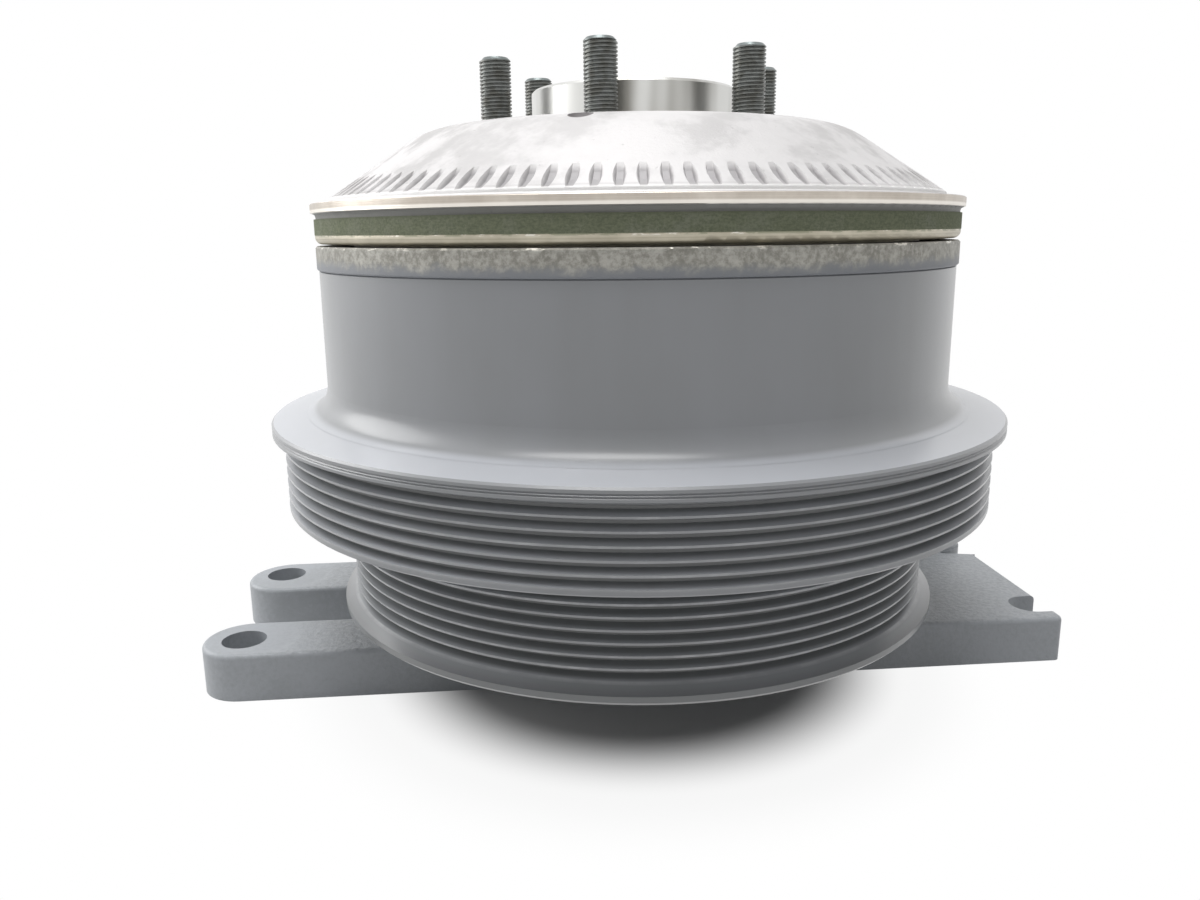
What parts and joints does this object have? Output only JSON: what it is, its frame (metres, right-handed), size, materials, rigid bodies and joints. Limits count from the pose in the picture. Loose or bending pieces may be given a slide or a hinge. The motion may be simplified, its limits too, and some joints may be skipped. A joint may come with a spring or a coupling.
{
  "type": "air-released fan clutch hub with belt pulley",
  "caption": "Fan clutch hub: stepped ribbed-belt pulley on a cast bracket, with a spring-pressed friction disc that drives a studded fan mounting disc.",
  "frame": {"origin": "on the clutch axis, in the plane of the bracket's underside", "axes": "+Z along the clutch axis towards the fan, +X along the bracket towards its notched plate"},
  "size_m": [0.294, 0.2356, 0.1999],
  "materials": {
    "grey_paint": "satin grey enamel over castings and machined grooves",
    "machined_steel": "turned",
    "ring_metal": "bare, partly covered by paint overspray",
    "disc_steel": "turned, slightly stained",
    "race_steel": "ground",
    "cap_steel": "pressed",
    "ball_steel": "polished",
    "dark_steel": "oiled black",
    "black_oxide": "black oxide",
    "cast_aluminium": "as cast, with machined faces",
    "facing_green": "moulded friction material",
    "seal_rubber": "moulded",
    "cage_bronze": "turned"
  },
  "bodies": {
    "bracket": {"mounting_bracket": "grey_paint", "spindle": "machined_steel", "spindle_circlip": "dark_steel", "rear_bearing_inner_race": "race_steel", "bearing_spacer": "machined_steel", "front_bearing_inner_race": "race_steel", "spindle_lock_washer": "machined_steel", "spindle_nut": "dark_steel", "air_seal_cartridge": "cage_bronze"},
    "pulley": {"pulley": "grey_paint", "drum_ring": "ring_metal", "rear_bearing_outer_race": "race_steel", "front_bearing_outer_race": "race_steel", "rear_bearing_circlip": "dark_steel", "rear_grease_seal": "seal_rubber", "drive_hub": "machined_steel", "air_seal_seat": "race_steel", "air_piston": "machined_steel", "air_piston_o_ring": "seal_rubber", "fan_bearing_inner_race": "race_steel", "fan_bearing_washer": "machined_steel", "fan_bearing_nut": "dark_steel"},
    "friction_disc": {"friction_disc": "disc_steel", "disc_o_ring": "seal_rubber", "engage_springs": "dark_steel"},
    "fan_disc": {"fan_mounting_disc": "cast_aluminium", "friction_facing": "facing_green", "facing_screws": "dark_steel", "fan_studs": "black_oxide", "fan_bearing_outer_race": "race_steel", "fan_bearing_circlip": "dark_steel", "end_cap": "cap_steel"},
    "rear_cage": {"rear_bearing_cage": "cage_bronze", "rear_bearing_balls": "ball_steel"},
    "front_cage": {"front_bearing_cage": "cage_bronze", "front_bearing_balls": "ball_steel"},
    "fan_cage": {"fan_bearing_cage": "cage_bronze", "fan_bearing_balls": "ball_steel"}
  },
  "joints": [
    {"name": "pulley_spin", "type": "hinge", "parent": "bracket", "child": "pulley", "pos_m": [0, 0, 0.046], "axis": [0, 0, 1], "continuous": true},
    {"name": "disc_release", "type": "slide", "parent": "pulley", "child": "friction_disc", "axis": [0, 0, 1], "range_m": [-0.0004, 0], "stiffness_N_per_m": 20000, "springref_m": 0.004, "deforming": ["engage_springs"]},
    {"name": "fan_slip", "type": "hinge", "parent": "pulley", "child": "fan_disc", "pos_m": [0, 0, 0.165], "axis": [0, 0, 1], "continuous": true},
    {"name": "rear_cage_roll", "type": "hinge", "parent": "bracket", "child": "rear_cage", "pos_m": [0, 0, 0.046], "axis": [0, 0, 1], "continuous": true},
    {"name": "front_cage_roll", "type": "hinge", "parent": "bracket", "child": "front_cage", "pos_m": [0, 0, 0.082], "axis": [0, 0, 1], "continuous": true},
    {"name": "fan_cage_roll", "type": "hinge", "parent": "pulley", "child": "fan_cage", "pos_m": [0, 0, 0.165], "axis": [0, 0, 1], "continuous": true}
  ],
  "couplings": [
    {"joint": "rear_cage_roll", "follows": "pulley_spin", "ratio": 0.5907},
    {"joint": "front_cage_roll", "follows": "pulley_spin", "ratio": 0.5907},
    {"joint": "fan_cage_roll", "follows": "fan_slip", "ratio": 0.6033}
  ]
}
